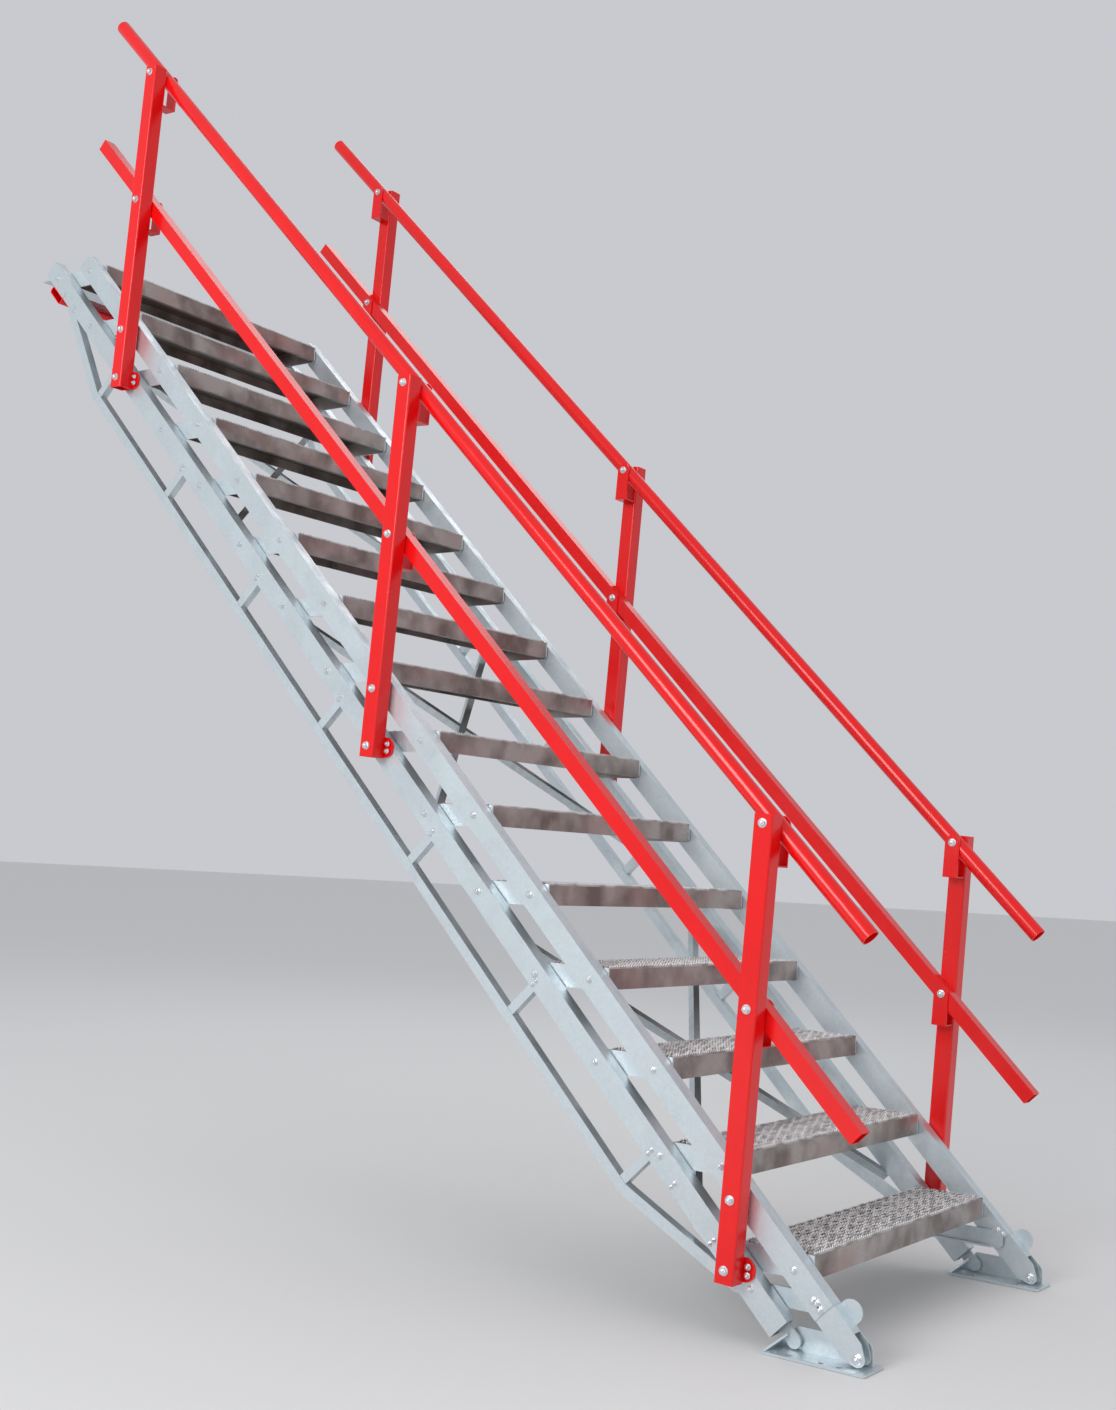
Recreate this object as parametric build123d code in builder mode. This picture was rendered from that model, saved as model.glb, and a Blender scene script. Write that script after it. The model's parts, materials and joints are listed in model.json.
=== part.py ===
from build123d import *
import os
from math import cos, radians, sin

# Adjustable stair in millimetres. X runs across the stair to the climber's right,
# Y runs uphill and Z is up. The origin lies under the left foot plate, straight
# below its front pivot, on the face that rests on the ground.

# Driving sizes
slope = 45.0               # slope of the rails as shown
tread_count = 15
tread_pitch = 283.0        # pivot to pivot along the rails
tread_length = 1010.0      # folded tread between its two end plates
link_reach = 170.0         # front pivot to rear pivot, level
pivot_height = 26.0        # foot pivots above the ground
first_tread_reach = 230.0  # foot pivot to the first tread pivot, along the rail

# Rails
rail_depth = 60.0
rail_width = 40.0
rail_wall = 3.0
front_rail_start = 118.0   # along the slope from the foot pivot
front_rail_over = 52.0     # past the last tread pivot
rear_rail_over = 60.0
rear_rail_start = 36.0     # square end, clear of the foot's flange at 30 and 60 degrees
rear_tongue = 8.0          # plate inside the rear rail that turns on the foot
rail_end_round = 17.0      # rounded lower end around the foot pivot
rail_end_taper = 20.0      # full depth from here up

# Treads
tread_depth = 195.0
tread_sheet = 3.0
plate_corner = 8.0
nose_height = 52.0
nose_return = 16.0
back_height = 32.0
end_plate = 5.0
end_plate_height = 55.0
end_plate_lip = 3.0
end_plate_back = 205.0
pivot_behind_nose = 28.0
pivot_below_top = 27.0
rib_count = 9
rib_height = 3.0
rib_width = 5.0
side_gap = 4.0             # rail to end plate, filled by the pivot bosses
running_gap = 0.3
boss_radius = 13.0         # round bosses, and the hexagonal spacers across corners

# Landing plate on the top tread
landing_depth = 135.0
landing_sheet = 5.0
landing_lip = 24.0

# Feet
foot_front = 33.0          # plate in front of the front pivot
foot_back = 221.0
foot_width = 100.0
foot_plate = 6.0
web_height = 58.0
web_plate = 6.0
web_setback = 16.0
flange_plate = 5.0
flange_notch = (3.0, 19.0) # clear of the rear tongue: from x of the rail, above z
anchor_radius = 7.0
anchor_inset = 15.0
anchor_places = (34.0, 79.0, 159.0, 194.0)   # behind the front pivot

# Front legs
leg_width = 34.0
leg_tongue = 50.0
leg_front_cut = 45.0       # the leg's front wall starts here, above the pivot
ear_plate = 4.0
ear_front = 66.0           # from the leg's centre line
ear_back = 48.0            # short enough to clear the rear rail at 30 degrees
ear_radius = 28.0
ear_gap = 1.5              # from the ears to the front rail's lower end

# Bottom link plates
link_below_tread = 87.0    # below the first tread pivot, along the rail
link_above = 10.0
link_below = 35.0
link_lip = 14.0
link_plate = 5.0

# Posts
post_side = 50.0
post_wall = 3.0
post_lean = 2.9            # degrees off upright, top downhill
post_past_tread = 198.0    # past the first tread pivot, along the rail
post_pitches = 6           # tread pitches from post to post
post_foot = 190.0          # below the rail pivot, along the post
clamp_drop = 159.0
clamp_radius = 28.0
clamp_plate = 5.0
clamp_forward = 26.0
mid_rail_height = 435.0    # above the rail pivot, along the post
top_rail_height = 866.0
post_top = 888.0

# Handrails
top_rail_over = 352.0      # past the outer posts, along the slope
top_rail_radius = 22.5
top_rail_wall = 2.5
mid_rail_over = 372.0
mid_rail_side = 40.0
mid_rail_wall = 2.5

# Trusses below the rear rails
strut_count = 7
strut_past_tread = 307.0   # past the first tread's rear pivot
strut_pitch = 526.0
strut_side = 25.0
chord_drop = 140.0         # chord centre below the rear rail's centre
chord_side = 28.0
chord_wall = 2.5
truss_low_end = 60.0       # below the first tread's rear pivot
truss_high_end = 136.0     # below the last tread's rear pivot

# Cross bar and braces
bar_span = 78.0
bar_thick = 26.0
bar_below_tread = 41.0     # below the last tread's rear pivot
brace_side = 22.0
brace_first = 817.0        # middle of the lowest crossing, past the rear foot pivot
brace_spacing = 1270.0
brace_reach = 980.0        # along the rails
brace_inset = 15.0         # ends under the rails' inner halves

# Worked out from the sizes above
run = cos(radians(slope))
rise = sin(radians(slope))
rail_spacing = tread_length + 2 * (end_plate + side_gap) + rail_width
rail_face = rail_width / 2
plate_face = rail_face + side_gap
front_foot = (0.0, pivot_height)
rear_foot = (link_reach, pivot_height)
last_pivot = first_tread_reach + (tread_count - 1) * tread_pitch
link_place = first_tread_reach - link_below_tread
post_first = first_tread_reach + post_past_tread
strut_first = first_tread_reach + strut_past_tread
post_gap = clamp_plate + 1.5
post_centre = rail_face + post_gap + post_side / 2
sides = (("left", 0.0, 1), ("right", rail_spacing, -1))


def along(start, distance, lift=0.0):
    """Point (y, z) at a distance along the slope and a lift square to it."""
    return (
        start[0] + distance * run - lift * rise,
        start[1] + distance * rise + lift * run,
    )


def level_plane(x, point):
    """Plane across X with its own x to the rear and y up."""
    return Plane(origin=(x, point[0], point[1]), x_dir=(0, 1, 0), z_dir=(1, 0, 0))


def slope_plane(x, point):
    """Plane across X with its own x up the slope and y square to it."""
    return Plane(origin=(x, point[0], point[1]), x_dir=(0, run, rise), z_dir=(1, 0, 0))


def post_plane(x, point):
    """Plane across X with its own x to the rear and y up the leaning post."""
    lean = radians(post_lean)
    return Plane(origin=(x, point[0], point[1]), x_dir=(0, cos(lean), sin(lean)), z_dir=(1, 0, 0))


def up_post(point, height):
    """Point (y, z) at a height along a post from its rail pivot."""
    lean = radians(post_lean)
    return (point[0] - height * sin(lean), point[1] + height * cos(lean))


def save(part, name):
    part.label = name
    export_step(part, "parts/" + name + ".step")


def foot_boss(x, point):
    """Round boss from a foot's web to the leg or tongue that turns beside it."""
    with BuildPart() as boss:
        with BuildSketch(level_plane(x, point)):
            Circle(boss_radius)
        extrude(amount=running_gap - (plate_face - leg_width / 2))
    return boss.part


def spacer(x, point, toward):
    """Hexagonal spacer that fills the gap from a plate to the rail beside it."""
    with BuildPart() as hexagon:
        with BuildSketch(level_plane(x, point)):
            RegularPolygon(radius=boss_radius, side_count=6)
        extrude(amount=toward * (side_gap - running_gap))
    return hexagon.part


def rail(x, start, low, high):
    """Rectangular tube with a square lower end and a closed upper end."""
    with BuildPart() as piece:
        with BuildSketch(slope_plane(x, start)):
            with Locations(((low + high) / 2, 0)):
                Rectangle(high - low, rail_depth)
        extrude(amount=rail_width / 2, both=True)
        with BuildSketch(slope_plane(x, start)):
            with Locations((low, 0)):
                Rectangle(
                    high - low - rail_wall, rail_depth - 2 * rail_wall,
                    align=(Align.MIN, Align.CENTER),
                )
        extrude(amount=rail_width / 2 - rail_wall, both=True, mode=Mode.SUBTRACT)
    return piece.part


def rear_rail(x):
    """Rear rail with the tongue that turns on the foot beside its web."""
    with BuildPart() as piece:
        add(rail(x, rear_foot, rear_rail_start, last_pivot + rear_rail_over))
        with BuildSketch(slope_plane(x + leg_width / 2 - rear_tongue, rear_foot)):
            Circle(rail_end_round)
            with Locations((rear_rail_start + leg_tongue / 2, 0)):
                Rectangle(leg_tongue, 2 * rail_end_round)
            make_hull(mode=Mode.REPLACE)
        extrude(amount=rear_tongue)
    return piece.part


def front_leg(x):
    """Leg that carries the front rail, with its tongue and its eared plate."""
    neck = front_rail_start - running_gap
    with BuildPart() as piece:
        with BuildSketch(slope_plane(x, front_foot)):
            Circle(rail_end_round)
            with Locations(((rail_end_taper + neck) / 2, 0)):
                Rectangle(neck - rail_end_taper, rail_depth)
            make_hull(mode=Mode.REPLACE)
        extrude(amount=leg_width / 2, both=True)
        with BuildSketch(slope_plane(x, front_foot)):
            with Locations((neck / 2, 0)):
                Rectangle(neck + rail_depth * 2, rail_depth - 2 * rail_wall)
        extrude(amount=leg_width / 2 - rail_wall, both=True, mode=Mode.SUBTRACT)
        with BuildSketch(slope_plane(x, front_foot)):
            with Locations((leg_front_cut, 0)):
                Rectangle(rail_depth * 2, rail_depth, align=(Align.MAX, Align.MIN))
        extrude(amount=leg_width / 2 - rail_wall, both=True, mode=Mode.SUBTRACT)
        with BuildSketch(slope_plane(x, front_foot)):
            with Locations((neck + leg_tongue / 2 - 10, 0)):
                Rectangle(leg_tongue + 20, rail_depth - 2 * rail_wall - 1)
        extrude(amount=rail_width / 2 - rail_wall - 0.5, both=True)
        with BuildSketch(slope_plane(x + leg_width / 2, front_foot)):
            with Locations((front_rail_start - ear_gap - ear_radius, (ear_front - ear_back) / 2)):
                SlotOverall(ear_front + ear_back, 2 * ear_radius, rotation=90)
        extrude(amount=ear_plate)
    return piece.part


def foot(x):
    """Foot plate with its web, its leaning flange and four anchor holes."""
    length = foot_front + foot_back
    middle = (foot_back - foot_front) / 2
    web_top = foot_back + foot_plate - web_height
    with BuildPart() as piece:
        with BuildSketch(Plane.XY) as plate:
            with Locations((x, middle)):
                Rectangle(foot_width, length)
            chamfer(plate.vertices(), length=3)
            with Locations([(x - foot_width / 2 + anchor_inset, y) for y in anchor_places]):
                Circle(anchor_radius, mode=Mode.SUBTRACT)
        extrude(amount=foot_plate)
        with BuildSketch(level_plane(x + plate_face, (0, 0))) as web:
            with BuildLine():
                Polyline(
                    (-foot_front + web_setback, 0),
                    (foot_back, 0),
                    (foot_back, foot_plate),
                    (web_top, web_height),
                    (-foot_front + web_setback, web_height),
                    close=True,
                )
            make_face()
            fillet(web.vertices().group_by(Axis.Y)[-1].sort_by(Axis.X)[0:1], radius=20)
        extrude(amount=web_plate)
        leaning = Plane(origin=(x, foot_back, foot_plate), x_dir=(1, 0, 0), z_dir=(0, -1, -1))
        height = (web_height - foot_plate) * 2 ** 0.5
        notch_x, notch_z = flange_notch
        with BuildSketch(leaning):
            with BuildLine():
                Polyline(
                    (3 - foot_width / 2, 0),
                    (plate_face, 0),
                    (plate_face, height),
                    close=True,
                )
            make_face()
            with Locations((notch_x, (notch_z - foot_plate) * 2 ** 0.5)):
                Rectangle(
                    plate_face - notch_x, height,
                    align=(Align.MIN, Align.MIN), mode=Mode.SUBTRACT,
                )
        extrude(amount=flange_plate)
        add(foot_boss(x + plate_face, rear_foot))
        add(foot_boss(x + plate_face, front_foot))
    return piece.part


def tread(number):
    """Folded tread with its end plates and the four pivot bosses."""
    front = along(front_foot, first_tread_reach + (number - 1) * tread_pitch)
    rear = (front[0] + link_reach, front[1])
    nose = (front[0] - pivot_behind_nose, front[1] + pivot_below_top)
    inner = plate_face + end_plate
    with BuildPart() as piece:
        with BuildSketch(level_plane(inner, nose)):
            with BuildLine():
                fold = Polyline(
                    (nose_return, -nose_height + tread_sheet / 2),
                    (tread_sheet / 2, -nose_height + tread_sheet / 2),
                    (tread_sheet / 2, -tread_sheet / 2),
                    (tread_depth, -tread_sheet / 2),
                    (tread_depth, -back_height),
                )
                offset(amount=tread_sheet / 2, side=Side.BOTH, kind=Kind.INTERSECTION)
            make_face()
        extrude(amount=tread_length)
        pitch = (tread_depth - 16) / (rib_count - 1)
        with BuildSketch(level_plane(inner, nose)):
            with Locations([(8 + i * pitch, 0) for i in range(rib_count)]):
                Rectangle(rib_width, rib_height, align=(Align.CENTER, Align.MIN))
        extrude(amount=tread_length)
        for x, way in ((plate_face, 1), (rail_spacing - plate_face, -1)):
            with BuildSketch(level_plane(x, nose)) as plate:
                with Locations((0, end_plate_lip)):
                    Rectangle(end_plate_back, end_plate_height + end_plate_lip, align=(Align.MIN, Align.MAX))
                chamfer(plate.vertices().group_by(Axis.Y)[0], length=plate_corner)
            extrude(amount=way * end_plate)
            add(spacer(x, front, -way))
            add(spacer(x, rear, -way))
    return piece.part


def landing_plate():
    """Plate that carries the top tread across to the landing, with a folded lip."""
    front = along(front_foot, last_pivot)
    edge = (
        front[0] - pivot_behind_nose + end_plate_back + running_gap,
        front[1] + pivot_below_top,
    )
    with BuildPart() as piece:
        with BuildSketch(level_plane(plate_face, edge)):
            with BuildLine():
                Polyline(
                    (0, -landing_lip),
                    (0, 0),
                    (landing_depth, 0),
                    (landing_depth, -landing_sheet),
                    (landing_sheet, -landing_sheet),
                    (landing_sheet, -landing_lip),
                    close=True,
                )
            make_face()
        extrude(amount=rail_spacing - 2 * plate_face)
    return piece.part


def bottom_link(x, way):
    """Plate that ties a front rail's lower end to the rear rail beside it."""
    front = along(front_foot, link_place)
    rear = (front[0] + link_reach, front[1])
    start = x + way * plate_face
    with BuildPart() as piece:
        with BuildSketch(level_plane(start, front)) as outline:
            with Locations((link_reach / 2, (link_above - link_below) / 2)):
                Rectangle(link_reach + 50, link_above + link_below)
            chamfer(outline.vertices(), length=plate_corner)
        extrude(amount=way * link_plate)
        with BuildSketch(level_plane(start, front)):
            with Locations((link_reach / 2, -link_below)):
                Rectangle(link_reach, link_plate, align=(Align.CENTER, Align.MIN))
        extrude(amount=way * (link_plate + link_lip))
        add(spacer(start, front, -way))
        add(spacer(start, rear, -way))
    return piece.part


def post(x, way, number):
    """Handrail post on the outer side of a front rail, with its clamp plate."""
    pivot = along(front_foot, post_first + number * post_pitches * tread_pitch)
    inner_face = x - way * (rail_face + post_gap)
    bottom = up_post(pivot, -post_foot)
    lean = radians(post_lean)
    section = Plane(
        origin=(x - way * post_centre, bottom[0], bottom[1]),
        x_dir=(1, 0, 0), z_dir=(0, -sin(lean), cos(lean)),
    )
    with BuildPart() as piece:
        with BuildSketch(section):
            RectangleRounded(post_side, post_side, 5)
            Rectangle(post_side - 2 * post_wall, post_side - 2 * post_wall, mode=Mode.SUBTRACT)
        extrude(amount=post_foot + post_top)
        with BuildSketch(post_plane(inner_face, pivot)):
            Circle(boss_radius)
        extrude(amount=way * (post_gap - running_gap))
        with BuildSketch(post_plane(inner_face, up_post(pivot, -clamp_drop))):
            with Locations((-clamp_forward, 0)):
                Circle(clamp_radius)
            Rectangle(post_side - 12, 2 * clamp_radius)
            make_hull(mode=Mode.REPLACE)
        extrude(amount=way * clamp_plate)
    return piece.part


def handrail_line(height):
    """Point of a handrail on the first post and its length between the outer posts."""
    start = up_post(along(front_foot, post_first), height)
    return start, (3 - 1) * post_pitches * tread_pitch


def mid_handrail(x, way):
    start, length = handrail_line(mid_rail_height)
    centre = x - way * (rail_face + post_gap - running_gap - mid_rail_side / 2)
    with BuildPart() as piece:
        with BuildSketch(slope_plane(centre, start)):
            with Locations((length / 2, 0)):
                Rectangle(length + 2 * mid_rail_over, mid_rail_side)
        extrude(amount=mid_rail_side / 2, both=True)
        with BuildSketch(slope_plane(centre, start)):
            with Locations((length / 2, 0)):
                Rectangle(length + 2 * mid_rail_over, mid_rail_side - 2 * mid_rail_wall)
        extrude(amount=mid_rail_side / 2 - mid_rail_wall, both=True, mode=Mode.SUBTRACT)
    return piece.part


def top_handrail(x, way):
    """Round top rail along the posts' inner faces."""
    start, length = handrail_line(top_rail_height)
    centre = x - way * (rail_face + post_gap - running_gap - top_rail_radius)
    low = along(start, -top_rail_over)
    tube = Plane(origin=(centre, low[0], low[1]), x_dir=(1, 0, 0), z_dir=(0, run, rise))
    with BuildPart() as piece:
        with BuildSketch(tube):
            Circle(top_rail_radius)
            Circle(top_rail_radius - top_rail_wall, mode=Mode.SUBTRACT)
        extrude(amount=length + 2 * top_rail_over)
    return piece.part


def truss_chord(x):
    """Lower chord with its two slanted ends, bent from one tube."""
    last = strut_first + (strut_count - 1) * strut_pitch
    bend = strut_side / 2 + 3
    path_points = (
        (first_tread_reach - truss_low_end, -rail_depth / 2),
        (strut_first - bend, -chord_drop),
        (last + bend, -chord_drop),
        (last_pivot - truss_high_end, -rail_depth / 2),
    )
    with BuildPart() as piece:
        with BuildSketch(slope_plane(x, rear_foot)):
            with BuildLine():
                Polyline(*path_points)
                offset(amount=chord_side / 2, side=Side.BOTH, kind=Kind.INTERSECTION)
            make_face()
        extrude(amount=chord_side / 2, both=True)
        with BuildSketch(slope_plane(x, rear_foot)):
            with BuildLine():
                Polyline(*path_points)
                offset(amount=chord_side / 2 - chord_wall, side=Side.BOTH, kind=Kind.INTERSECTION)
            make_face()
        extrude(amount=chord_side / 2 - chord_wall, both=True, mode=Mode.SUBTRACT)
        with BuildSketch(slope_plane(x, rear_foot)):
            with Locations((last / 2, 0)):
                Rectangle(last * 3, rail_depth + 2 * running_gap)
        extrude(amount=rail_width, both=True, mode=Mode.SUBTRACT)
    return piece.part


def truss_struts(x):
    """Struts square to the rail, from its lower face to the chord."""
    low = rail_depth / 2 + running_gap
    high = chord_drop - chord_side / 2 - running_gap
    places = [strut_first + i * strut_pitch for i in range(strut_count)]
    with BuildPart() as piece:
        with BuildSketch(slope_plane(x, rear_foot)):
            with Locations([(s, -low) for s in places]):
                Rectangle(strut_side, high - low, align=(Align.CENTER, Align.MAX))
        extrude(amount=strut_side / 2, both=True)
        with BuildSketch(slope_plane(x, rear_foot)):
            with Locations([(s, -low) for s in places]):
                Rectangle(strut_side - 2 * chord_wall, high - low, align=(Align.CENTER, Align.MAX))
        extrude(amount=strut_side / 2 - chord_wall, both=True, mode=Mode.SUBTRACT)
    return piece.part


def cross_bar():
    """Flat cross bar behind the upper ends of the rear rails."""
    drop = rail_depth / 2 + running_gap
    with BuildPart() as piece:
        with BuildSketch(slope_plane(-rail_face, rear_foot)):
            with Locations((last_pivot - bar_below_tread, -drop - bar_thick / 2)):
                RectangleRounded(bar_span, bar_thick, 9)
                RectangleRounded(bar_span - 6, bar_thick - 6, 6, mode=Mode.SUBTRACT)
        extrude(amount=rail_spacing + rail_width)
    return piece.part


def cross_brace(number):
    """Two square bars that cross below the rear rails, fused where they cross."""
    half = rail_spacing / 2
    face = along(rear_foot, brace_first + number * brace_spacing, -rail_depth / 2 - running_gap)
    behind = Plane(origin=(half, face[0], face[1]), x_dir=(1, 0, 0), z_dir=(0, rise, -run))
    across = rail_spacing - 2 * brace_inset
    with BuildPart() as piece:
        with BuildSketch(behind):
            with BuildLine():
                Line((-half, -brace_reach / 2), (half, brace_reach / 2))
                offset(amount=brace_side / 2, side=Side.BOTH)
            make_face()
            with BuildLine():
                Line((-half, brace_reach / 2), (half, -brace_reach / 2))
                offset(amount=brace_side / 2, side=Side.BOTH)
            make_face()
            Rectangle(across, brace_reach * 2, mode=Mode.INTERSECT)
        extrude(amount=brace_side)
    return piece.part


os.makedirs("parts", exist_ok=True)

for side, x, way in sides:
    save(foot(x), "foot_plate_" + side)
    save(front_leg(x), "front_leg_" + side)
    save(rail(x, front_foot, front_rail_start, last_pivot + front_rail_over), "front_rail_" + side)
    save(rear_rail(x), "rear_rail_" + side)
    save(truss_chord(x), "truss_chord_" + side)
    save(truss_struts(x), "truss_struts_" + side)
    save(bottom_link(x, way), "bottom_link_" + side)
    save(top_handrail(x, way), "top_handrail_" + side)
    save(mid_handrail(x, way), "mid_handrail_" + side)
    for number in range(3):
        save(post(x, way, number), "post_" + str(number + 1) + "_" + side)

for number in range(1, tread_count + 1):
    save(tread(number), "tread_" + str(number).zfill(2))

save(landing_plate(), "landing_plate")
save(cross_bar(), "top_cross_bar")
for number, place in enumerate(("lower", "middle", "upper")):
    save(cross_brace(number), "cross_brace_" + place)
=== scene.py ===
import bmesh
import bpy
import json
from math import cos, pi, radians, sin
from mathutils import Matrix, Vector

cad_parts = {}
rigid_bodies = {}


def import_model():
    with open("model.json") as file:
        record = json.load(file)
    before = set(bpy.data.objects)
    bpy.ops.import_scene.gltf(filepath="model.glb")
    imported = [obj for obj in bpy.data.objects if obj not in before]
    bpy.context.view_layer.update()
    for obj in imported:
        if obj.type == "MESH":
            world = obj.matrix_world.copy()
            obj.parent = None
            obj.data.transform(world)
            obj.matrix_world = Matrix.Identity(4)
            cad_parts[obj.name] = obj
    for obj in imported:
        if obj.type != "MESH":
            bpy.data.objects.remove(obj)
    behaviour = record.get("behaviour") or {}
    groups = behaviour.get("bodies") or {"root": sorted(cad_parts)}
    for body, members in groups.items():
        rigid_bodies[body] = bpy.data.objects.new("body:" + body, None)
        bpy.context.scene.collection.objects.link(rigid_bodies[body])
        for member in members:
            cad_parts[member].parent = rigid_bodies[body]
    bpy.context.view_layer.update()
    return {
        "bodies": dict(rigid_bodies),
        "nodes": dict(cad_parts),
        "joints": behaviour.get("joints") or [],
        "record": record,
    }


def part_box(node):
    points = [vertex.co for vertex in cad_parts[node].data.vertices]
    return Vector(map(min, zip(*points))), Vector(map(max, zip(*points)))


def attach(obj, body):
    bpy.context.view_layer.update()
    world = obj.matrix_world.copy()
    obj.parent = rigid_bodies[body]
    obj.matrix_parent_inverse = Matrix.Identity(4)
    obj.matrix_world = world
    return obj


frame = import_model()

bl_info = {
    "name": "Adjustable stair",
    "version": (1, 0, 0),
    "blender": (4, 5, 0),
    "location": "View3D > Sidebar > Stair",
    "description": "Finishes, fasteners and tread grip for the adjustable stair",
    "category": "Object",
}

MM = 0.001

# Places that the frame gives, in metres
PIVOTS = {joint["name"]: Vector(joint["pos_m"]) for joint in frame["joints"]}
TREADS = sorted(name for name in frame["bodies"] if name.startswith("tread_"))
POSTS = sorted(name for name in frame["bodies"] if name.startswith("post_pair_"))
FRONT_FOOT = PIVOTS["slope"]
REAR_FOOT = PIVOTS["rear_frame_pivot"]
LINK_REACH = REAR_FOOT.y - FRONT_FOOT.y
FIRST = PIVOTS[TREADS[0] + "_pivot"]
SECOND = PIVOTS[TREADS[1] + "_pivot"]
UP_SLOPE = (SECOND - FIRST).normalized()
OFF_SLOPE = Vector((0, -UP_SLOPE.z, UP_SLOPE.y))
TO_TOP_RAIL = PIVOTS["top_handrails_pivot"] - PIVOTS["post_pair_2_pivot"]
TO_MID_RAIL = PIVOTS["mid_handrails_pivot"] - PIVOTS["post_pair_2_pivot"]
UP_POST = TO_TOP_RAIL.normalized()
BEHIND_POST = Vector((0, UP_POST.z, -UP_POST.y))
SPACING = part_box("foot_plate_right")[0].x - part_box("foot_plate_left")[0].x
RAIL_OUT = -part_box("front_rail_left")[0].x
LEG_OUT = -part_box("front_leg_left")[0].x
POST_OUT = -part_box("post_1_left")[0].x
LINK_OUT = -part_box("bottom_link_left")[0].x

# Sizes of the CAD model that the pieces follow
TREAD_DEPTH = 0.195
PIVOT_BELOW_TOP = 0.027
PIVOT_BEHIND_NOSE = 0.028
PLATE_INSIDE_LINK = 0.0087
CLAMP_DROP = 0.159
LUG_AHEAD = 0.037
LUG_INSIDE_POST = 0.045
STRUT_COUNT = 7
STRUT_PITCH = 0.526

# Grip rows: margins on the tread, and half widths of a row at its foot and crest
GRIP_SIDE = 0.016
GRIP_FRONT = 0.006
GRIP_BACK = 0.008
ROW_FOOT = 0.0036
ROW_CREST = 0.001
ROW_SUNK = 0.001
ROW_WAVE = 0.0026

# Handrail straps: half width, sheet, length below the bolt, and gaps to rail and post
STRAP_HALF = 0.022
STRAP_SHEET = 0.004
TOP_STRAP_DROP = 0.100
MID_STRAP_DROP = 0.090
STRAP_GAP = 0.0006
POST_GAP = 0.0003
ROUND_STEPS = 12

# Bolts along the rails: distance up the slope and lift square to it
CHORD_BOLTS_BELOW = (-0.257, -0.097)
CHORD_BOLTS_ABOVE = (0.331, 0.415)
STRUT_BOLT_LIFTS = (-0.022, -0.008)
LEG_BOLTS = ((0.128, -0.004), (0.153, -0.004))
LEG_INNER_BOLTS = ((0.144, 0.012), (0.128, 0.016))

# Thread diameters in millimetres
STRUT_BOLT = 5.5
LEG_BOLT = 8
LEG_INNER_BOLT = 7
FOOT_BOLT = 11

# Camera fitted to the photograph, whose size is 1116 by 1410 pixels
CAMERA_PLACE = (-3.5108, -1.6316, 1.0783)
CAMERA_YAW = 0.94254
CAMERA_PITCH = 0.09332
CAMERA_ROLL = 0.05376
FOCAL_PIXELS = 1672.4
PHOTO_HEIGHT = 1410
SENSOR_HEIGHT = 36

# Studio: each light's name, place, power and size
STAGE_CENTRE = Vector((0.5, 1.5, 1.6))
LIGHTS = (
    ("key", (-7.5, 2.0, 4.5), 330, 3.5),
    ("front", (-2.5, -6.0, 3.5), 60, 4.0),
    ("rim", (5.5, 4.0, 6.5), 60, 4.0),
)
SKY_COLOUR = (0.93, 0.95, 1.0, 1)
SKY_STRENGTH = 0.62
FLOOR_RADIUS = 60
FLOOR_DROP = 0.001


def at(x, point):
    """A pivot point moved to x."""
    return Vector((x, point.y, point.z))


def both_sides(x, way):
    """The same place on the left and, mirrored, on the right, with its outward way."""
    return (("left", x, way), ("right", SPACING - x, -way))


def on_slope(foot, reach, lift):
    """The point a reach up the slope from a foot's pivot, lifted square to the slope."""
    return foot + UP_SLOPE * reach + OFF_SLOPE * lift


# Mesh making

def finish_piece(name, bm, body, look, smooth=35):
    """Make a mesh into a piece that rides on a body, its edges sharp past an angle."""
    bmesh.ops.recalc_face_normals(bm, faces=bm.faces)
    mesh = bpy.data.meshes.new(name)
    bm.to_mesh(mesh)
    bm.free()
    for polygon in mesh.polygons:
        polygon.use_smooth = True
    mesh.set_sharp_from_angle(angle=radians(smooth))
    mesh.materials.append(bpy.data.materials[look])
    piece = bpy.data.objects.new(name, mesh)
    bpy.context.scene.collection.objects.link(piece)
    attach(piece, body)


def finish_bolts(name, bm, body):
    finish_piece(name, bm, body, "zinc_fastener")


def turned(bm, place, way, profile, sides, turn=0.0):
    """Closed turned shape on an axis along X, from (radius, height) pairs in mm."""
    rings = []
    for radius, height in profile:
        ring = []
        for i in range(sides):
            angle = turn + 2 * pi * i / sides
            offset = Vector((way * height, radius * cos(angle), radius * sin(angle))) * MM
            ring.append(bm.verts.new(place + offset))
        rings.append(ring)
    for low, high in zip(rings, rings[1:]):
        for i in range(sides):
            j = (i + 1) % sides
            bm.faces.new((low[i], low[j], high[j], high[i]))
    bm.faces.new(rings[0])
    bm.faces.new(rings[-1])


def washer(bm, place, way, radius, thick):
    """Flat washer with a small chamfer, its back just inside the face."""
    turned(bm, place, way, (
        (radius, -0.4), (radius, thick - 0.5), (radius - 0.5, thick), (radius * 0.5, thick),
    ), sides=28)


def hex_head(bm, place, way, flats, height, base, turn):
    """Chamfered hexagon, as on a bolt head or a nut."""
    corner = flats / 2 / cos(pi / 6)
    turned(bm, place, way, (
        (corner * 0.95, base), (corner, base + 0.6), (corner, base + height - 1.4),
        (corner * 0.87, base + height),
    ), sides=6, turn=turn)


def bolt(bm, place, way, size, turn=0.3):
    """Washer, nut and rounded bolt end that stand on a face, for a thread of size mm."""
    thick = 2.0
    nut = size * 0.75
    top = thick + nut
    washer(bm, place, way, size * 1.15, thick)
    hex_head(bm, place, way, size * 1.6, nut, base=thick, turn=turn)
    turned(bm, place, way, (
        (size * 0.48, top - 1), (size * 0.48, top + 1.6), (size * 0.34, top + 2.8), (size * 0.1, top + 3.1),
    ), sides=14)


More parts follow.
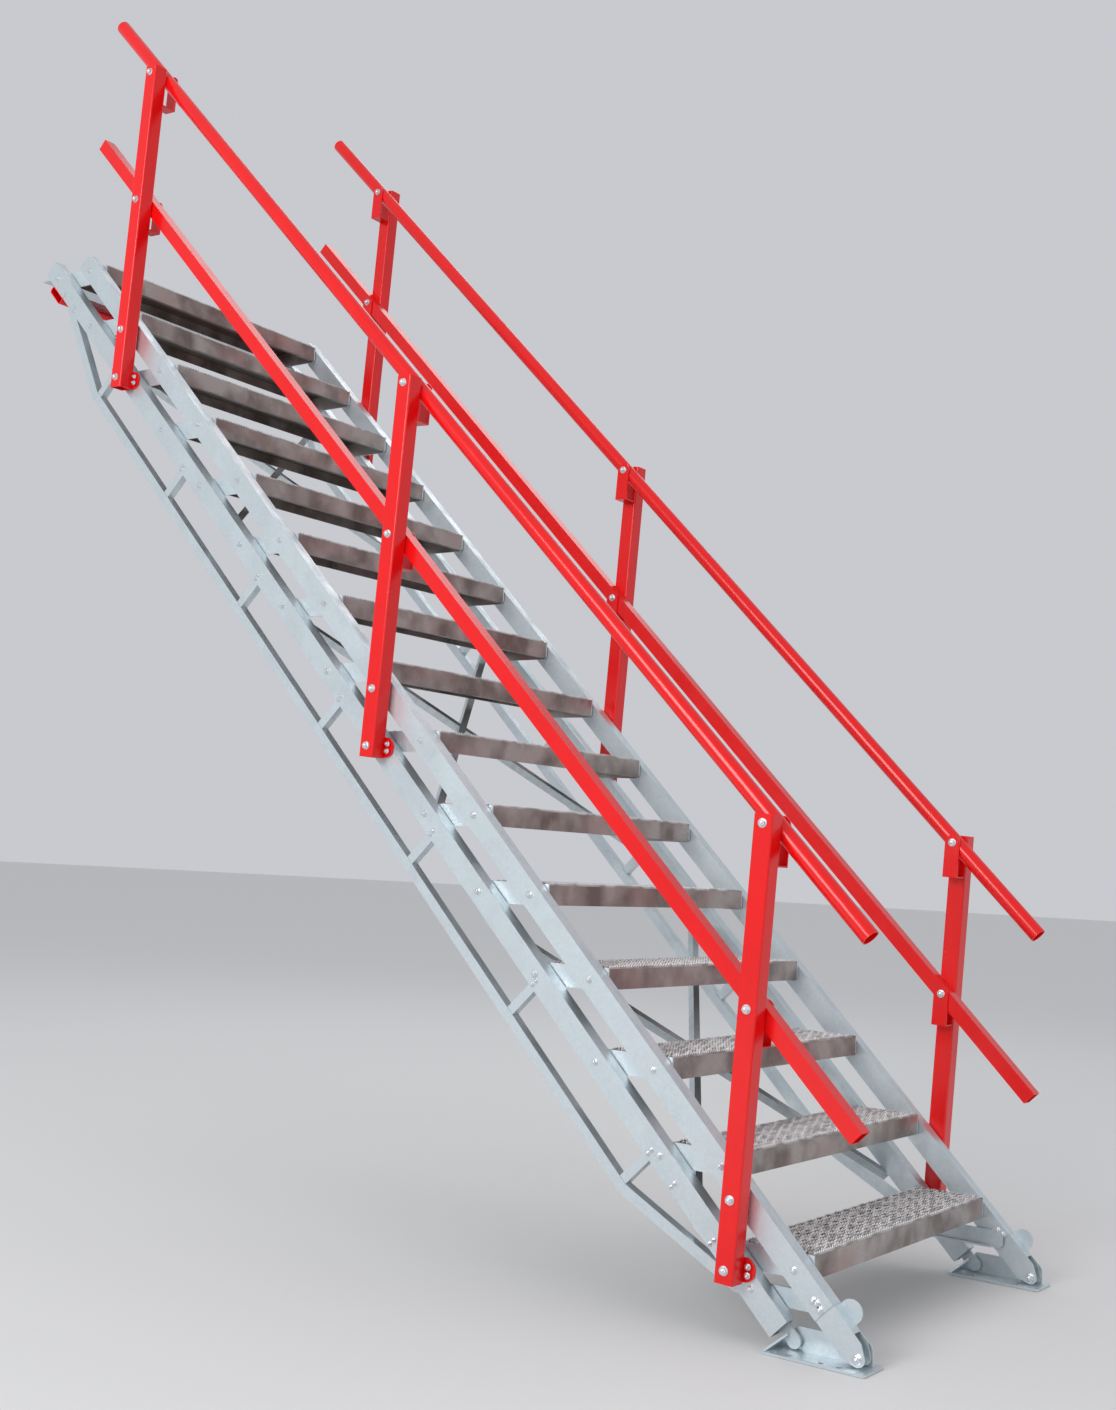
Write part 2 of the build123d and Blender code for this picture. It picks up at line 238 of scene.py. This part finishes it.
def slab(bm, centre, outline, start, end):
    """Flat plate in a post's plane, from (behind, up) points, between two x places."""
    rings = []
    for x in (start, end):
        points = [at(x, centre + BEHIND_POST * a + UP_POST * b) for a, b in outline]
        rings.append([bm.verts.new(point) for point in points])
    first, second = rings
    count = len(outline)
    for k in range(count):
        n = (k + 1) % count
        bm.faces.new((first[k], first[n], second[n], second[k]))
    bm.faces.new(first)
    bm.faces.new(second)


# Shader node groups

GROUP_OUTPUTS = (
    ("Color", "NodeSocketColor"),
    ("Roughness", "NodeSocketFloat"),
    ("Height", "NodeSocketFloat"),
)


def new_group(name, inputs):
    """Group with named inputs that gives a colour, a roughness and a height."""
    group = bpy.data.node_groups.new(name, "ShaderNodeTree")
    for label, value in inputs.items():
        kind = "NodeSocketColor" if isinstance(value, tuple) else "NodeSocketFloat"
        socket = group.interface.new_socket(label, in_out="INPUT", socket_type=kind)
        socket.default_value = value
    for label, kind in GROUP_OUTPUTS:
        group.interface.new_socket(label, in_out="OUTPUT", socket_type=kind)
    return group, group.nodes.new("NodeGroupInput").outputs


def close_group(group, colour, rough, height):
    """Link what a group makes to its outputs."""
    result = group.nodes.new("NodeGroupOutput")
    for (label, _), value in zip(GROUP_OUTPUTS, (colour, rough, height)):
        group.links.new(value, result.inputs[label])
    return group


def noise(tree, vector, scale, detail, rough=0.5):
    """Noise texture, from 0 to 1."""
    node = tree.nodes.new("ShaderNodeTexNoise")
    node.inputs["Scale"].default_value = scale
    node.inputs["Detail"].default_value = detail
    node.inputs["Roughness"].default_value = rough
    tree.links.new(vector, node.inputs["Vector"])
    return node.outputs["Fac"]


def span(tree, value, low, high, new_low=0.0, new_high=1.0):
    """Map Range node, clamped."""
    node = tree.nodes.new("ShaderNodeMapRange")
    node.inputs["From Min"].default_value = low
    node.inputs["From Max"].default_value = high
    node.inputs["To Min"].default_value = new_low
    node.inputs["To Max"].default_value = new_high
    tree.links.new(value, node.inputs["Value"])
    return node.outputs["Result"]


def calc(tree, kind, a, b):
    """Math node on two values, each a socket or a number."""
    node = tree.nodes.new("ShaderNodeMath")
    node.operation = kind
    for socket, value in zip(node.inputs, (a, b)):
        if isinstance(value, (int, float)):
            socket.default_value = value
        else:
            tree.links.new(value, socket)
    return node.outputs[0]


def blend_colour(tree, factor, a, b):
    """Mix of two colours."""
    node = tree.nodes.new("ShaderNodeMix")
    node.data_type = "RGBA"
    tree.links.new(factor, node.inputs[0])
    tree.links.new(a, node.inputs[6])
    tree.links.new(b, node.inputs[7])
    return node.outputs[2]


def stretched(tree, scale):
    """Object coordinates, scaled so that a pattern can run along one axis."""
    coordinates = tree.nodes.new("ShaderNodeTexCoord")
    mapping = tree.nodes.new("ShaderNodeMapping")
    mapping.inputs["Scale"].default_value = scale
    tree.links.new(coordinates.outputs["Object"], mapping.inputs["Vector"])
    return mapping.outputs["Vector"]


def facing_up(tree):
    """Height of the surface's normal, from -1 facing down to 1 facing up."""
    geometry = tree.nodes.new("ShaderNodeNewGeometry")
    normal = tree.nodes.new("ShaderNodeSeparateXYZ")
    tree.links.new(geometry.outputs["Normal"], normal.inputs[0])
    return normal.outputs["Z"]


def zinc_group():
    """Spangle, clouding and streaks of hot-dip zinc."""
    group, given = new_group("Zinc spangle", {
        "Light": (0.75, 0.8, 0.82, 1),
        "Dark": (0.5, 0.56, 0.6, 1),
        "Clouding": 0.5,
        "Roughness": 0.4,
    })
    flat = stretched(group, (1, 1, 1))
    grain = group.nodes.new("ShaderNodeTexVoronoi")
    grain.inputs["Scale"].default_value = 130
    group.links.new(flat, grain.inputs["Vector"])
    crystal = group.nodes.new("ShaderNodeSeparateColor")
    group.links.new(grain.outputs["Color"], crystal.inputs[0])
    cloud = span(group, noise(group, flat, 9, 4, 0.6), 0.35, 0.65)
    streak = span(group, noise(group, stretched(group, (70, 9, 9)), 1.0, 3, 0.6), 0.4, 0.7)
    drift = calc(group, "MULTIPLY", calc(group, "ADD", cloud, streak), 0.5)
    clouded = calc(group, "MULTIPLY", drift, given["Clouding"])
    speck = calc(group, "MULTIPLY", crystal.outputs[0], 0.16)
    factor = calc(group, "ADD", clouded, speck)
    colour = blend_colour(group, factor, given["Light"], given["Dark"])
    scuff = calc(group, "MULTIPLY", calc(group, "SUBTRACT", drift, 0.4), 0.3)
    rough = calc(group, "ADD", given["Roughness"], scuff)
    fine = noise(group, flat, 420, 2)
    height = calc(group, "ADD", calc(group, "MULTIPLY", fine, 0.4), cloud)
    return close_group(group, colour, rough, height)


def paint_group():
    """Slight shade change, orange peel and fine dust of sprayed paint."""
    group, given = new_group("Sprayed paint", {
        "Color": (0.8, 0.02, 0.02, 1),
        "Shade": (0.6, 0.01, 0.01, 1),
        "Roughness": 0.25,
    })
    flat = stretched(group, (1, 1, 1))
    shade = span(group, noise(group, flat, 6, 4, 0.55), 0.35, 0.75, 0.0, 0.5)
    dust = span(group, noise(group, flat, 14, 3, 0.5), 0.55, 0.8, 0.0, 0.08)
    colour = blend_colour(group, shade, given["Color"], given["Shade"])
    rough = calc(group, "ADD", given["Roughness"], dust)
    height = noise(group, flat, 260, 2)
    return close_group(group, colour, rough, height)


def tread_group():
    """Worn tread steel: blotched front with reddish blotches that are a painted reflection of the red
    paint, painted shade on the underside, and zinc-grey end plates.
    """
    group, given = new_group("Worn tread steel", {
        "Light": (0.5, 0.47, 0.45, 1),
        "Dark": (0.3, 0.26, 0.24, 1),
        "Red reflection": (0.5, 0.25, 0.24, 1),
        "Underside shade": (0.08, 0.06, 0.05, 1),
        "Ends": (0.7, 0.77, 0.8, 1),
        "Inner end": 0.03,
        "Outer end": 1.04,
        "Roughness": 0.35,
    })
    flat = stretched(group, (1, 1, 1))
    soft = span(group, noise(group, stretched(group, (9, 9, 9)), 1.0, 2, 0.4), 0.35, 0.65)
    scuff = span(group, noise(group, flat, 26, 4, 0.55), 0.5, 0.7, 0.0, -0.3)
    shade = calc(group, "ADD", soft, scuff)
    colour = blend_colour(group, shade, given["Light"], given["Dark"])
    # Painted reflection: reddish blotches stand in for the red paint reflected in the tread steel.
    red = span(group, noise(group, stretched(group, (4.5, 9, 9)), 1.0, 1, 0.5), 0.52, 0.68, 0.0, 0.45)
    colour = blend_colour(group, red, colour, given["Red reflection"])
    # Painted shade: faces that look down are darkened towards the underside colour.
    underside_shade = span(group, facing_up(group), -0.35, -0.8)
    colour = blend_colour(group, underside_shade, colour, given["Underside shade"])
    place = group.nodes.new("ShaderNodeSeparateXYZ")
    group.links.new(flat, place.inputs[0])
    inner = calc(group, "LESS_THAN", place.outputs["X"], given["Inner end"])
    outer = calc(group, "GREATER_THAN", place.outputs["X"], given["Outer end"])
    colour = blend_colour(group, calc(group, "ADD", inner, outer), colour, given["Ends"])
    rough = calc(group, "ADD", given["Roughness"], calc(group, "MULTIPLY", scuff, 0.4))
    return close_group(group, colour, rough, noise(group, flat, 90, 3))


def grip_group():
    """Worn crests of the serrated rows with a painted highlight on faces that look up, and painted shade on
    their sloping sides.
    """
    group, given = new_group("Serrated grip", {
        "Crest and highlight": (0.9, 0.9, 0.9, 1),
        "Valley shade": (0.2, 0.17, 0.15, 1),
        "Wear": 0.5,
        "Roughness": 0.35,
    })
    flat = stretched(group, (1, 1, 1))
    # Painted highlight and shade: faces that look up take the crest colour and sloping faces the dark
    # valley colour; the patches add real wear.
    crest = span(group, facing_up(group), 0.2, 0.7)
    patch = span(group, noise(group, stretched(group, (22, 60, 22)), 1.0, 3, 0.6), 0.40, 0.56)
    worn = calc(group, "ADD", crest, calc(group, "MULTIPLY", patch, given["Wear"]))
    bright = calc(group, "ADD", calc(group, "MULTIPLY", patch, 0.5), 0.6)
    factor = calc(group, "MULTIPLY", worn, bright)
    colour = blend_colour(group, factor, given["Valley shade"], given["Crest and highlight"])
    return close_group(group, colour, given["Roughness"], noise(group, flat, 200, 3))


def surface(name, group, values, metal, bump, coat=0.0):
    """Material with one group that gives its colour, roughness and relief."""
    material = bpy.data.materials.new(name)
    material.use_nodes = True
    tree = material.node_tree
    shader = tree.nodes["Principled BSDF"]
    effect = tree.nodes.new("ShaderNodeGroup")
    effect.node_tree = group
    for label, value in values.items():
        effect.inputs[label].default_value = value
    tree.links.new(effect.outputs["Color"], shader.inputs["Base Color"])
    tree.links.new(effect.outputs["Roughness"], shader.inputs["Roughness"])
    relief = tree.nodes.new("ShaderNodeBump")
    relief.inputs["Strength"].default_value = bump
    relief.inputs["Distance"].default_value = 0.002
    tree.links.new(effect.outputs["Height"], relief.inputs["Height"])
    tree.links.new(relief.outputs["Normal"], shader.inputs["Normal"])
    shader.inputs["Metallic"].default_value = metal
    shader.inputs["Coat Weight"].default_value = coat
    shader.inputs["Coat Roughness"].default_value = 0.08


class StairSettings(bpy.types.PropertyGroup):
    """Colours and sizes that a user would change"""
    zinc_light: bpy.props.FloatVectorProperty(
        name="Zinc, light", description="Light tone of the galvanised steel",
        default=(0.72, 0.79, 0.82), subtype="COLOR", min=0, max=1,
    )
    zinc_dark: bpy.props.FloatVectorProperty(
        name="Zinc, dark", description="Clouded tone of the galvanised steel",
        default=(0.45, 0.52, 0.56), subtype="COLOR", min=0, max=1,
    )
    tread_light: bpy.props.FloatVectorProperty(
        name="Tread, light", description="Light tone of the tread sheet",
        default=(0.44, 0.40, 0.38), subtype="COLOR", min=0, max=1,
    )
    tread_dark: bpy.props.FloatVectorProperty(
        name="Tread, dark", description="Dark tone of the tread sheet",
        default=(0.19, 0.155, 0.14), subtype="COLOR", min=0, max=1,
    )
    # Painted reflection of the red paint on the tread steel.
    tread_red_reflection: bpy.props.FloatVectorProperty(
        name="Tread, blush", description="Reddish patches on the tread fronts",
        default=(0.40, 0.26, 0.245), subtype="COLOR", min=0, max=1,
    )
    # Painted shade on the tread undersides.
    tread_underside_shade: bpy.props.FloatVectorProperty(
        name="Tread, underside", description="Dull underside of the treads",
        default=(0.10, 0.08, 0.07), subtype="COLOR", min=0, max=1,
    )
    # Crest wear together with a painted highlight on the grip rows.
    grip_crest_and_highlight: bpy.props.FloatVectorProperty(
        name="Grip, crests", description="Bright crests of the serrated rows",
        default=(1.0, 1.0, 1.0), subtype="COLOR", min=0, max=1,
    )
    # Painted shade on the sloping sides of the grip rows.
    grip_valley_shade: bpy.props.FloatVectorProperty(
        name="Grip, valleys", description="Dull valleys of the serrated rows",
        default=(0.10, 0.08, 0.07), subtype="COLOR", min=0, max=1,
    )
    paint: bpy.props.FloatVectorProperty(
        name="Paint", description="Colour of the posts and handrails",
        default=(0.86, 0.003, 0.004), subtype="COLOR", min=0, max=1,
    )
    paint_shade: bpy.props.FloatVectorProperty(
        name="Paint, shade", description="Deeper patches of the paint",
        default=(0.72, 0.002, 0.003), subtype="COLOR", min=0, max=1,
    )
    floor: bpy.props.FloatVectorProperty(
        name="Floor", description="Colour of the studio floor",
        default=(0.78, 0.78, 0.77), subtype="COLOR", min=0, max=1,
    )
    row_count: bpy.props.IntProperty(
        name="Grip rows", description="Serrated rows on each tread", default=13, min=4, max=24,
    )
    tooth_pitch: bpy.props.FloatProperty(
        name="Tooth pitch", description="Distance from tooth to tooth along a row",
        default=0.011, min=0.005, max=0.03, unit="LENGTH",
    )
    tooth_height: bpy.props.FloatProperty(
        name="Tooth height", description="Height of a tooth above the tread sheet",
        default=0.0065, min=0.002, max=0.012, unit="LENGTH",
    )
    pivot_bolt: bpy.props.FloatProperty(
        name="Pivot bolt", description="Thread diameter of the tread pivots in millimetres",
        default=8.0, min=5, max=16,
    )
    post_bolt: bpy.props.FloatProperty(
        name="Post bolt", description="Thread diameter of the post bolts in millimetres",
        default=10.0, min=5, max=16,
    )


def settings():
    return bpy.context.scene.stair_settings


class STAIR_OT_finishes(bpy.types.Operator):
    """Make the zinc, paint and tread finishes and put them on the frame"""
    bl_idname = "stair.finishes"
    bl_label = "Finishes"

    def execute(self, context):
        s = settings()
        zinc = zinc_group()
        surface("galvanised_rail", zinc, {
            "Light": (*s.zinc_light, 1), "Dark": (*s.zinc_dark, 1), "Clouding": 0.45, "Roughness": 0.42,
        }, 0.75, 0.12)
        plate_end = PLATE_INSIDE_LINK - LINK_OUT
        surface("tread_sheet", tread_group(), {
            "Light": (*s.tread_light, 1), "Dark": (*s.tread_dark, 1), "Red reflection": (*s.tread_red_reflection, 1),
            "Underside shade": (*s.tread_underside_shade, 1), "Ends": (*s.zinc_light, 1), "Inner end": plate_end,
            "Outer end": SPACING - plate_end, "Roughness": 0.38,
        }, 0.55, 0.1)
        surface("tread_grip", grip_group(), {
            "Crest and highlight": (*s.grip_crest_and_highlight, 1), "Valley shade": (*s.grip_valley_shade, 1), "Wear": 0.12, "Roughness": 0.45,
        }, 0.0, 0.2)
        surface("zinc_fastener", zinc, {
            "Light": (0.85, 0.88, 0.9, 1), "Dark": (0.6, 0.64, 0.67, 1), "Clouding": 0.3, "Roughness": 0.25,
        }, 0.95, 0.05)
        surface("red_gloss", paint_group(), {
            "Color": (*s.paint, 1), "Shade": (*s.paint_shade, 1), "Roughness": 0.22,
        }, 0.0, 0.006, coat=0.04)
        slots = {part["node"]: part["material_slot"] for part in frame["record"]["subparts"]}
        for name, node in frame["nodes"].items():
            look = "red_gloss" if slots[name] == "red_paint" else "galvanised_rail"
            if name in TREADS:
                look = "tread_sheet"
            node.data.materials.clear()
            node.data.materials.append(bpy.data.materials[look])
        return {"FINISHED"}


class STAIR_OT_grip(bpy.types.Operator):
    """Add the serrated rows on top of each tread"""
    bl_idname = "stair.grip"
    bl_label = "Tread grip"

    def execute(self, context):
        s = settings()
        for name in TREADS:
            low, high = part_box(name)
            pivot = PIVOTS[name + "_pivot"]
            start = low.x + GRIP_SIDE
            length = high.x - low.x - 2 * GRIP_SIDE
            top = pivot.z + PIVOT_BELOW_TOP
            front = pivot.y - PIVOT_BEHIND_NOSE + GRIP_FRONT
            depth = TREAD_DEPTH - GRIP_FRONT - GRIP_BACK
            steps = int(length / (s.tooth_pitch / 2))
            bm = bmesh.new()
            for row in range(s.row_count):
                y = front + depth * row / (s.row_count - 1)
                crown = s.tooth_height if row else s.tooth_height * 1.25
                wave = ROW_WAVE if row else 0.0
                before = None
                for i in range(steps + 1):
                    x = start + length * i / steps
                    middle = y + wave * sin(2 * pi * i / 9 + row * 1.9)
                    tall = crown if (i + row) % 2 else crown * 0.4
                    now = [
                        bm.verts.new((x, middle - ROW_FOOT, top - ROW_SUNK)),
                        bm.verts.new((x, middle - ROW_CREST, top + tall)),
                        bm.verts.new((x, middle + ROW_CREST, top + tall)),
                        bm.verts.new((x, middle + ROW_FOOT, top - ROW_SUNK)),
                    ]
                    if before:
                        for k in range(4):
                            n = (k + 1) % 4
                            bm.faces.new((before[k], now[k], now[n], before[n]))
                    else:
                        bm.faces.new(now)
                    before = now
                bm.faces.new(before)
            finish_piece(name.replace("tread", "grip_rows"), bm, name,
                         "tread_grip", smooth=20)
        return {"FINISHED"}


class STAIR_OT_pivots(bpy.types.Operator):
    """Add the pivot bolts of the treads and link plates on the rails"""
    bl_idname = "stair.pivots"
    bl_label = "Tread and link pivots"

    def execute(self, context):
        size = settings().pivot_bolt
        names = [name + "_pivot" for name in TREADS] + ["bottom_links_pivot"]
        for side, x, way in both_sides(-RAIL_OUT, -1):
            front, rear = bmesh.new(), bmesh.new()
            for i, name in enumerate(names):
                pivot = PIVOTS[name]
                bolt(front, at(x, pivot), way, size, turn=0.3 + 0.7 * i)
                bolt(rear, at(x, pivot + Vector((0, LINK_REACH, 0))), way, size, turn=0.9 + 0.5 * i)
            finish_bolts("front_rail_bolts_" + side, front, "front_frame")
            finish_bolts("rear_rail_bolts_" + side, rear, "rear_frame")
        return {"FINISHED"}


class STAIR_OT_post_bolts(bpy.types.Operator):
    """Add the bolts on the outer faces of the posts and on their clamp plates"""
    bl_idname = "stair.post_bolts"
    bl_label = "Post bolts"

    def execute(self, context):
        size = settings().post_bolt
        clamp = UP_POST * -CLAMP_DROP
        lug = clamp - BEHIND_POST * LUG_AHEAD
        for body in POSTS:
            pivot = PIVOTS[body + "_pivot"]
            for side, x, way in both_sides(-POST_OUT, -1):
                bm = bmesh.new()
                for i, offset in enumerate((Vector(), TO_MID_RAIL, TO_TOP_RAIL, clamp)):
                    bolt(bm, at(x, pivot + offset), way, size, turn=0.4 + 0.6 * i)
                for rise in (-0.010, 0.010):
                    place = pivot + lug + UP_POST * rise
                    bolt(bm, at(x - way * LUG_INSIDE_POST, place), way, size * 0.7)
                finish_bolts(body.replace("pair", "bolts") + "_" + side, bm, body)
        return {"FINISHED"}


class STAIR_OT_straps(bpy.types.Operator):
    """Add the straps that hold the handrails against the posts, with their nuts"""
    bl_idname = "stair.straps"
    bl_label = "Handrail straps"

    def execute(self, context):
        size = settings().post_bolt
        straps = (
            ("top_handrail_", TO_TOP_RAIL, TOP_STRAP_DROP),
            ("mid_handrail_", TO_MID_RAIL, MID_STRAP_DROP),
        )
        turns = [pi * k / ROUND_STEPS for k in range(ROUND_STEPS + 1)]
        top_round = [(STRAP_HALF * cos(turn), STRAP_HALF * sin(turn)) for turn in turns]
        for body in POSTS:
            pivot = PIVOTS[body + "_pivot"]
            for side, way in (("left", 1), ("right", -1)):
                plates, nuts = bmesh.new(), bmesh.new()
                for rail, offset, drop in straps:
                    low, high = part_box(rail + side)
                    face = high.x if way > 0 else low.x
                    start = face + way * STRAP_GAP
                    end = start + way * STRAP_SHEET
                    post_side = face - way * (high.x - low.x + POST_GAP)
                    centre = pivot + offset
                    foot = [(-STRAP_HALF, -drop), (STRAP_HALF, -drop)]
                    lip = [(STRAP_HALF, STRAP_SHEET - drop), (-STRAP_HALF, STRAP_SHEET - drop)]
                    slab(plates, centre, foot + top_round, start, end)
                    slab(plates, centre, foot + lip, start, post_side)
                    bolt(nuts, at(end, centre), way, size)
                name = body.replace("pair", "straps") + "_" + side
                finish_piece(name, plates, body, "red_gloss")
                finish_bolts(name.replace("straps", "nuts"), nuts, body)
        return {"FINISHED"}


class STAIR_OT_frame_bolts(bpy.types.Operator):
    """Add the bolts of the struts, the chords and the legs on the rails"""
    bl_idname = "stair.frame_bolts"
    bl_label = "Frame bolts"

    def execute(self, context):
        low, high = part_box("truss_struts_left")
        middle = (low + high) / 2
        lowest = (at(0, middle) - REAR_FOOT).dot(UP_SLOPE) - (STRUT_COUNT - 1) / 2 * STRUT_PITCH
        places = [lowest + i * STRUT_PITCH for i in range(STRUT_COUNT)]
        highest = places[-1]
        places += [lowest + offset for offset in CHORD_BOLTS_BELOW]
        places += [highest + offset for offset in CHORD_BOLTS_ABOVE]
        for side, x, way in both_sides(-RAIL_OUT, -1):
            rear, front = bmesh.new(), bmesh.new()
            for reach in places:
                for lift in STRUT_BOLT_LIFTS:
                    bolt(rear, at(x, on_slope(REAR_FOOT, reach, lift)), way, STRUT_BOLT)
            for reach, lift in LEG_BOLTS:
                bolt(front, at(x, on_slope(FRONT_FOOT, reach, lift)), way, LEG_BOLT)
            finish_bolts("strut_bolts_" + side, rear, "rear_frame")
            finish_bolts("leg_bolts_" + side, front, "front_frame")
        inner = bmesh.new()
        for reach, lift in LEG_INNER_BOLTS:
            for _, x, way in both_sides(RAIL_OUT, 1):
                bolt(inner, at(x, on_slope(FRONT_FOOT, reach, lift)), way, LEG_INNER_BOLT)
        finish_bolts("leg_inner_bolts", inner, "front_frame")
        return {"FINISHED"}


class STAIR_OT_foot_bolts(bpy.types.Operator):
    """Add the pivot bolts of the feet"""
    bl_idname = "stair.foot_bolts"
    bl_label = "Foot bolts"

    def execute(self, context):
        for side, x in (("left", 0.0), ("right", SPACING)):
            bm = bmesh.new()
            bolt(bm, at(x - LEG_OUT, FRONT_FOOT), -1, FOOT_BOLT)
            finish_bolts("foot_bolts_" + side, bm, "front_frame")
        return {"FINISHED"}


class STAIR_OT_stage(bpy.types.Operator):
    """Set the floor, the lights and the camera of the photograph"""
    bl_idname = "stair.stage"
    bl_label = "Stage"

    def execute(self, context):
        s = settings()
        scene = context.scene
        ground = bmesh.new()
        bmesh.ops.create_circle(ground, cap_ends=True, segments=96, radius=FLOOR_RADIUS)
        mesh = bpy.data.meshes.new("studio_floor")
        ground.to_mesh(mesh)
        ground.free()
        floor = bpy.data.objects.new("studio_floor", mesh)
        floor.location = (STAGE_CENTRE.x, STAGE_CENTRE.y, -FLOOR_DROP)
        scene.collection.objects.link(floor)
        look = bpy.data.materials.new("pale_floor")
        look.use_nodes = True
        shader = look.node_tree.nodes["Principled BSDF"]
        shader.inputs["Base Color"].default_value = (*s.floor, 1)
        shader.inputs["Roughness"].default_value = 0.9
        mesh.materials.append(look)

        world = bpy.data.worlds.new("studio")
        world.use_nodes = True
        sky = world.node_tree.nodes["Background"]
        sky.inputs["Color"].default_value = SKY_COLOUR
        sky.inputs["Strength"].default_value = SKY_STRENGTH
        scene.world = world
        for name, place, power, size in LIGHTS:
            light = bpy.data.lights.new(name, "AREA")
            light.energy = power
            light.size = size
            lamp = bpy.data.objects.new(name, light)
            lamp.location = place
            aim = STAGE_CENTRE - Vector(place)
            lamp.rotation_euler = aim.to_track_quat("-Z", "Y").to_euler()
            scene.collection.objects.link(lamp)

        ahead = Vector((
            sin(CAMERA_YAW) * cos(CAMERA_PITCH),
            cos(CAMERA_YAW) * cos(CAMERA_PITCH),
            sin(CAMERA_PITCH),
        ))
        right = Vector((cos(CAMERA_YAW), -sin(CAMERA_YAW), 0))
        up = right.cross(ahead)
        across = right * cos(CAMERA_ROLL) + up * sin(CAMERA_ROLL)
        over = up * cos(CAMERA_ROLL) - right * sin(CAMERA_ROLL)
        lens = bpy.data.cameras.new("camera")
        lens.sensor_fit = "VERTICAL"
        lens.sensor_height = SENSOR_HEIGHT
        lens.lens = SENSOR_HEIGHT * FOCAL_PIXELS / PHOTO_HEIGHT
        lens.clip_end = 200
        camera = bpy.data.objects.new("camera", lens)
        axes = Matrix((across, over, -ahead)).transposed()
        camera.matrix_world = Matrix.Translation(CAMERA_PLACE) @ axes.to_4x4()
        scene.collection.objects.link(camera)
        scene.camera = camera
        scene.view_settings.view_transform = "Standard"
        return {"FINISHED"}


class STAIR_PT_panel(bpy.types.Panel):
    """Sidebar panel with the stair's settings and the buttons of its operators"""
    bl_label = "Adjustable stair"
    bl_idname = "STAIR_PT_panel"
    bl_space_type = "VIEW_3D"
    bl_region_type = "UI"
    bl_category = "Stair"

    def draw(self, context):
        for name in StairSettings.__annotations__:
            self.layout.prop(context.scene.stair_settings, name)
        for operator in OPERATORS:
            self.layout.operator(operator.bl_idname)


OPERATORS = (
    STAIR_OT_finishes,
    STAIR_OT_grip,
    STAIR_OT_pivots,
    STAIR_OT_post_bolts,
    STAIR_OT_straps,
    STAIR_OT_frame_bolts,
    STAIR_OT_foot_bolts,
    STAIR_OT_stage,
)


def register():
    for cls in (StairSettings, *OPERATORS, STAIR_PT_panel):
        bpy.utils.register_class(cls)
    bpy.types.Scene.stair_settings = bpy.props.PointerProperty(type=StairSettings)


def unregister():
    del bpy.types.Scene.stair_settings
    for cls in reversed((StairSettings, *OPERATORS, STAIR_PT_panel)):
        bpy.utils.unregister_class(cls)


def main():
    register()
    bpy.ops.stair.finishes()
    bpy.ops.stair.grip()
    bpy.ops.stair.pivots()
    bpy.ops.stair.post_bolts()
    bpy.ops.stair.straps()
    bpy.ops.stair.frame_bolts()
    bpy.ops.stair.foot_bolts()
    bpy.ops.stair.stage()


if __name__ == "__main__":
    main()
